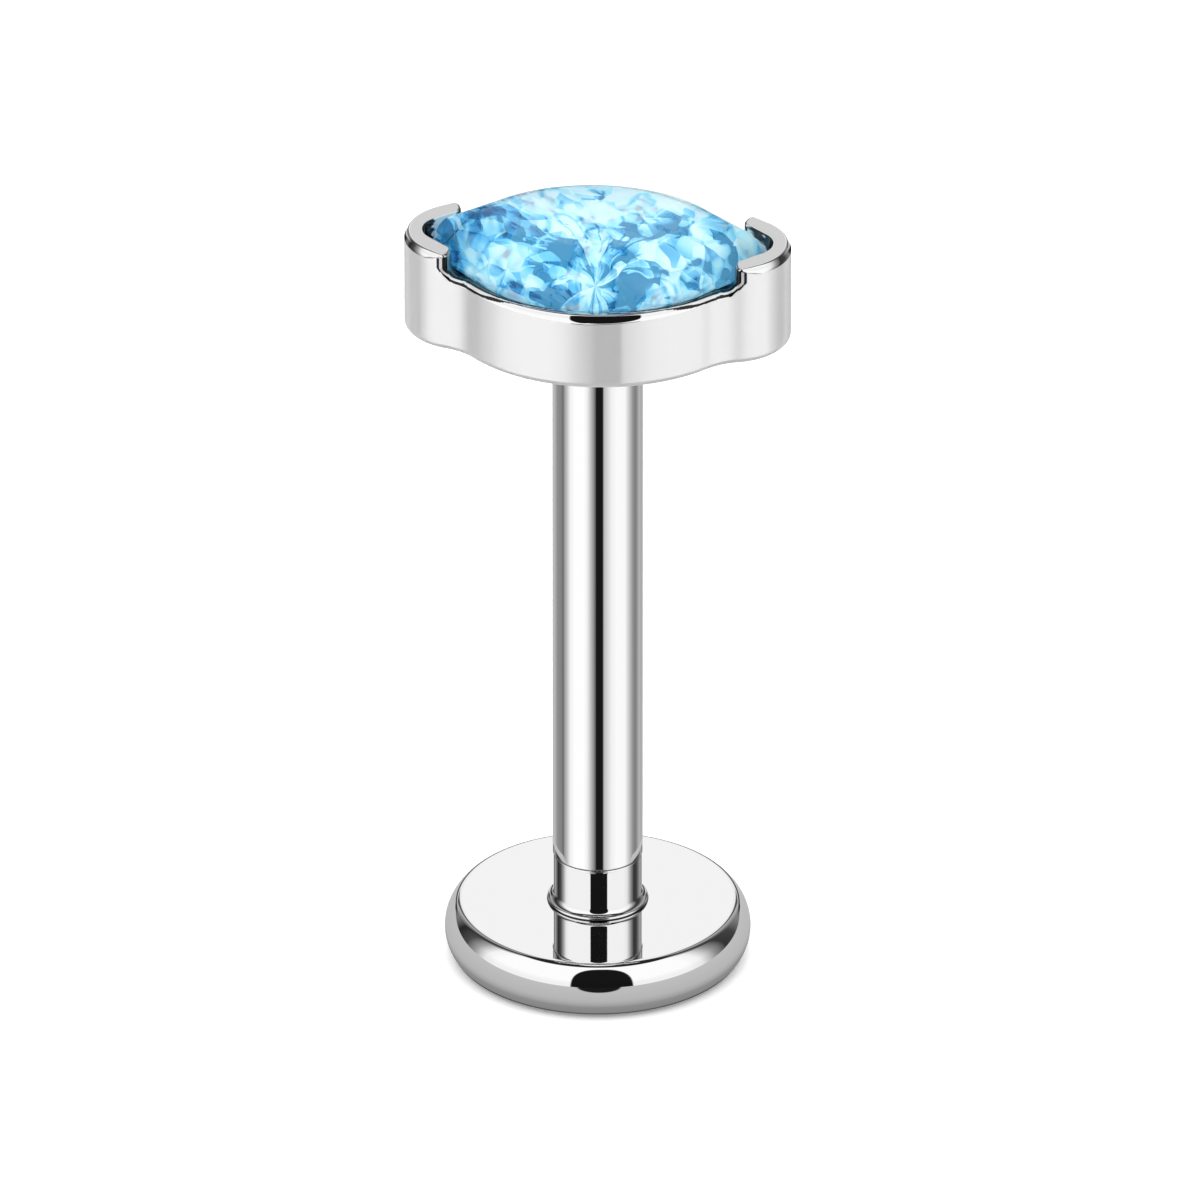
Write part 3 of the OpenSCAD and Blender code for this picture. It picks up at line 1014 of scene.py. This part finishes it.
# Shards seen in the stone: "veils" just under the crown, "facets" on the pavilion. Their tones paint the
# stone's sparkle, light caught and lost by facets, with painted shading across each shard
ice = {
    "veils": {
        "colours": [        # tone, colour
            (0.0, (0.04, 0.20, 0.40)), (0.1, (0.12, 0.45, 0.78)), (0.24, (0.18, 0.60, 0.93)),
            (0.45, (0.36, 0.79, 0.96)), (0.7, (0.60, 0.95, 1.0)), (1.0, (0.86, 1.0, 1.0))],
        "burst": (0.12, -1.35),  # the shards fan out round this place, mm
        "fan": (2.5, 1.1, 0.40),    # shards round the fan and along it, weight in the tone
        "shards": [         # cells per mm along X, Y and Z, turn in degrees, weight
            ((2.0, 3.6, 3.2), 24, 0.28), ((5.4, 3.0, 5.0), -35, 0.28)],
        "slant": 1.0,       # painted shading: how much the tone runs lighter across a shard, as on a lit facet
        "wander": (2.4, 0.20),  # how the shards' edges bend: waves per mm, mm
        "pale": [           # painted highlights and painted shade: x, y, half length, half width, change
            (0.15, 0.4, 1.1, 0.6, 0.20), (-0.5, -1.1, 0.3, 0.25, -0.24), (0.55, -1.1, 0.3, 0.25, -0.24),
            (0.0, 1.45, 2.2, 0.30, -0.34), (1.3, -0.25, 0.5, 0.5, 0.10), (2.0, 0.0, 0.35, 0.5, -0.14)],
        "contrast": (0.15, 0.66),
        "threads": [        # painted light and dark lines between some shards, as on facet edges: cells per mm, width, change, mask
            ((1.7, 1.7, 0.9), 0.10, -0.62, 0.47), ((1.3, 1.3, 0.8), 0.05, 0.45, 0.53)],
    },
    "facets": {
        "colours": [
            (0.0, (0.03, 0.17, 0.34)), (0.12, (0.12, 0.48, 0.82)), (0.34, (0.30, 0.75, 0.95)),
            (0.56, (0.46, 0.87, 1.0)), (0.76, (0.70, 0.96, 1.0)), (1.0, (0.94, 1.0, 1.0))],
        "burst": (0.12, -0.68),
        "fan": (4.2, 2.0, 0.32),
        "shards": [((2.9, 6.2, 0.6), 20, 0.30), ((9.5, 4.4, 0.6), -35, 0.26)],
        "slant": 1.0,
        "wander": (2.2, 0.22),
        "pale": [(0.1, 0.55, 0.9, 0.35, 0.08), (1.1, 0.4, 0.6, 0.5, 0.10), (0.5, -0.5, 0.4, 0.4, 0.08)],
        "contrast": (0.24, 0.68),
        "threads": [((1.5, 1.5, 0.9), 0.09, -0.55, 0.47), ((1.9, 1.9, 0.8), 0.05, 0.45, 0.53)],
    },
    "facetWeight": 0.16,
}


# A steady number from 0 to 1 for each place
def scatter(i, j, k):
    return (math.sin(i * 12.9898 + j * 78.233 + k * 37.719) * 43758.5453) % 1


# The colour of a sheet of ice-like shards, painted sparkle and shading, as a node socket
def iceColour(tree, sheet):
    do = partial(addMath, tree)

    def move(operation, first, second=(0.0, 0.0, 0.0)):
        node = tree.nodes.new("ShaderNodeVectorMath")
        node.operation = operation
        feed(tree, node.inputs[0], first)
        feed(tree, node.inputs[1], second)
        return node.outputs["Value" if operation in ("DOT_PRODUCT", "LENGTH") else "Vector"]

    # a tone of its own for each cell, with painted shading that runs lighter to one side
    def shardTone(place):
        cells = tree.nodes.new("ShaderNodeTexVoronoi")
        cells.inputs["Scale"].default_value = 1.0
        tree.links.new(place, cells.inputs["Vector"])
        pick = tree.nodes.new("ShaderNodeSeparateColor")
        tree.links.new(cells.outputs["Color"], pick.inputs[0])
        lean = move("SUBTRACT", cells.outputs["Color"], (0.5, 0.5, 0.5))
        run = move("DOT_PRODUCT", move("SUBTRACT", place, cells.outputs["Position"]), lean)
        return do("ADD", pick.outputs[0], do("MULTIPLY", run, sheet["slant"]))

    inMm = move("MULTIPLY", addPlace(tree), (1 / mm,) * 3)
    waves, bend = sheet["wander"]
    noise = addNoise(tree, inMm, waves, 1)
    sway = move("SUBTRACT", noise["Color"], (0.5, 0.5, 0.5))
    place = move("ADD", inMm, move("MULTIPLY", sway, (bend, bend, 0.0)))
    tone = tree.nodes.new("ShaderNodeAttribute")
    tone.attribute_name = "tone"
    total = do("MULTIPLY", tone.outputs["Fac"], ice["facetWeight"])
    # the fan: cells on a cone round the burst, seamless all round
    flat = move("MULTIPLY", move("SUBTRACT", place, (*sheet["burst"], 0.0)), (1.0, 1.0, 0.0))
    around, along, weight = sheet["fan"]
    outward = tree.nodes.new("ShaderNodeCombineXYZ")
    tree.links.new(do("MULTIPLY", move("LENGTH", flat), along), outward.inputs["Z"])
    fan = move("ADD", move("MULTIPLY", move("NORMALIZE", flat), (around, around, 0.0)), outward.outputs[0])
    total = do("ADD", total, do("MULTIPLY", shardTone(fan), weight))
    for scale, turn, weight in sheet["shards"]:
        stretched = move("MULTIPLY", addTurn(tree, place, turn), scale)
        total = do("ADD", total, do("MULTIPLY", shardTone(stretched), weight))
    parts = addParts(tree, place)
    # painted highlights and painted shade in given places
    for x, y, long, wide, change in sheet["pale"]:
        far = addFar(tree, parts, ("X", x, long), ("Y", y, wide))
        total = do("ADD", total, addRange(tree, far, 0.2, 1.6, change, 0.0))
    total = addRange(tree, total, *sheet["contrast"])
    # painted light and dark lines along some shards' edges
    for scale, width, change, mask in sheet["threads"]:
        borders = tree.nodes.new("ShaderNodeTexVoronoi")
        borders.feature = "DISTANCE_TO_EDGE"
        borders.inputs["Scale"].default_value = 1.0
        tree.links.new(move("MULTIPLY", fan, scale), borders.inputs["Vector"])
        thread = addRange(tree, borders.outputs["Distance"], 0.0, width, change, 0.0)
        edge = 0.03 if change > 0 else -0.03
        broken = addRange(tree, noise["Fac"], mask - edge, mask + edge)
        total = do("ADD", total, do("MULTIPLY", thread, broken))
    return addRamp(tree, total, sheet["colours"])


def stoneMaterials():
    clear, tree = newMaterial("skyBlueStone")
    shader = tree.nodes["Principled BSDF"]
    tree.links.new(iceColour(tree, ice["veils"]), shader.inputs["Base Color"])
    shader.inputs["Roughness"].default_value = 0.0
    shader.inputs["Transmission Weight"].default_value = stone["clear"]
    shader.inputs["IOR"].default_value = stone["index"]

    cut, tree = newMaterial("cutFacets")
    shader = tree.nodes["Principled BSDF"]
    tree.links.new(iceColour(tree, ice["facets"]), shader.inputs["Base Color"])
    shader.inputs["Specular IOR Level"].default_value = 0.0
    shader.inputs["Roughness"].default_value = 0.6
    return clear, cut


def buildStone():
    tip, radius, sideY = stone["tip"], stone["girdleRadius"], stone["sideY"]
    turnAt = math.atan2(sideY, tip) + math.acos(radius / math.hypot(tip, sideY))
    flank = math.hypot(tip - radius * math.cos(turnAt), radius * math.sin(turnAt) - sideY)
    quarter = flank + radius * (math.pi / 2 - turnAt)

    # a place on the girdle, by the share of the way round it
    def girdleSpot(share):
        way = share % 1 * 4
        fold = int(way)
        way = quarter * (way - fold if fold % 2 == 0 else 1 - way + fold)
        if way < flank:
            x, y = tip - way * math.sin(turnAt), way * math.cos(turnAt)
        else:
            turn = turnAt + (way - flank) / radius
            x, y = radius * math.cos(turn), radius * math.sin(turn) - sideY
        return x * (-1 if fold in (1, 2) else 1), y * (1 if fold < 2 else -1)

    points, faces, tones = [], [], []

    def addRing(shares, run, span, z):
        first = len(points)
        for share in shares:
            x, y = girdleSpot(share)
            points.append((run * x, span * y, z))
        return list(range(first, len(points)))

    # crown: a smooth curve through the profile's points
    count = stone["round"]
    even = [i / count for i in range(count)]
    profile = [Vector(row) for row in stone["profile"]]
    ends = [profile[0] + (profile[0] - profile[1]) * 0.3] + profile + [profile[-1] + Vector((-0.3, -0.2, 0))]
    curve = []
    for i in range(len(profile) - 1):
        a, b, c, d = ends[i:i + 4]
        for k in range(6):
            t = k / 6
            curve.append(0.5 * (2 * b + (c - a) * t + (2 * a - 5 * b + 4 * c - d) * t * t
                                + (3 * b - a - 3 * c + d) * t ** 3))
    curve.append(profile[-1])
    rings = [addRing(even, min(row.x, 1.0), min(row.y, 1.0), min(row.z, profile[-1].z)) for row in curve]
    for low, high in zip(rings, rings[1:]):
        faces += bandFaces(low, high)
    faces.append(tuple(rings[-1]))
    foot = addRing(even, 1, 1, stone["girdleFoot"])
    faces += bandFaces(foot, rings[0])
    crownFaces = len(faces)

    # pavilion: rings of scattered corners, joined by single facets
    kneeShare, kneeZ = stone["knee"]
    along, across, upward = stone["jitter"]

    def pavilionZ(share):
        if share > kneeShare:
            return kneeZ + (stone["girdleFoot"] - kneeZ) * (share - kneeShare) / (1 - kneeShare)
        return stone["culet"] + (kneeZ - stone["culet"]) * share / kneeShare

    outer, outerShares = foot, even
    for number, (share, corners) in enumerate(stone["cuts"]):
        shares, inner = [], []
        for i in range(corners):
            way = (i + 0.5 * (number % 2) + along * (scatter(number, i, 1) - 0.5)) / corners
            reach = share * (1 + across * 2 * (scatter(number, i, 2) - 0.5))
            x, y = girdleSpot(way)
            lift = upward * scatter(number, i, 3) * (1 - share * 0.4)
            shares.append(way)
            inner.append(len(points))
            points.append((x * reach, y * reach, pavilionZ(reach) + lift))
        i = j = 0
        while i < len(outer) or j < len(inner):
            nextOuter = outerShares[i + 1] if i + 1 < len(outer) else 1 + outerShares[(i + 1) % len(outer)]
            nextInner = shares[j + 1] if j + 1 < len(inner) else 1 + shares[(j + 1) % len(inner)]
            a, b = outer[i % len(outer)], inner[j % len(inner)]
            if j >= len(inner) or (i < len(outer) and nextOuter <= nextInner):
                faces.append((outer[(i + 1) % len(outer)], a, b))
                i += 1
            else:
                faces.append((a, b, inner[(j + 1) % len(inner)]))
                j += 1
        outer, outerShares = inner, shares
    points.append((0, 0, stone["culet"]))
    faces += fanFaces(outer, len(points) - 1, fromBelow=True)

    clear, cut = stoneMaterials()
    piece = addMesh("marquiseStone", points, faces, clear)
    piece.data.materials.append(cut)
    tone = piece.data.attributes.new("tone", "FLOAT", "FACE")
    for index, face in enumerate(piece.data.polygons):
        if index >= crownFaces:
            face.use_smooth = False
            face.material_index = 1
            tone.data[index].value = scatter(index, 3, 5)
    keepFlatsFlat(piece)
    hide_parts("stone")
    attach(piece, "head")
    print("stone cut,", len(faces), "facets")


buildStone()
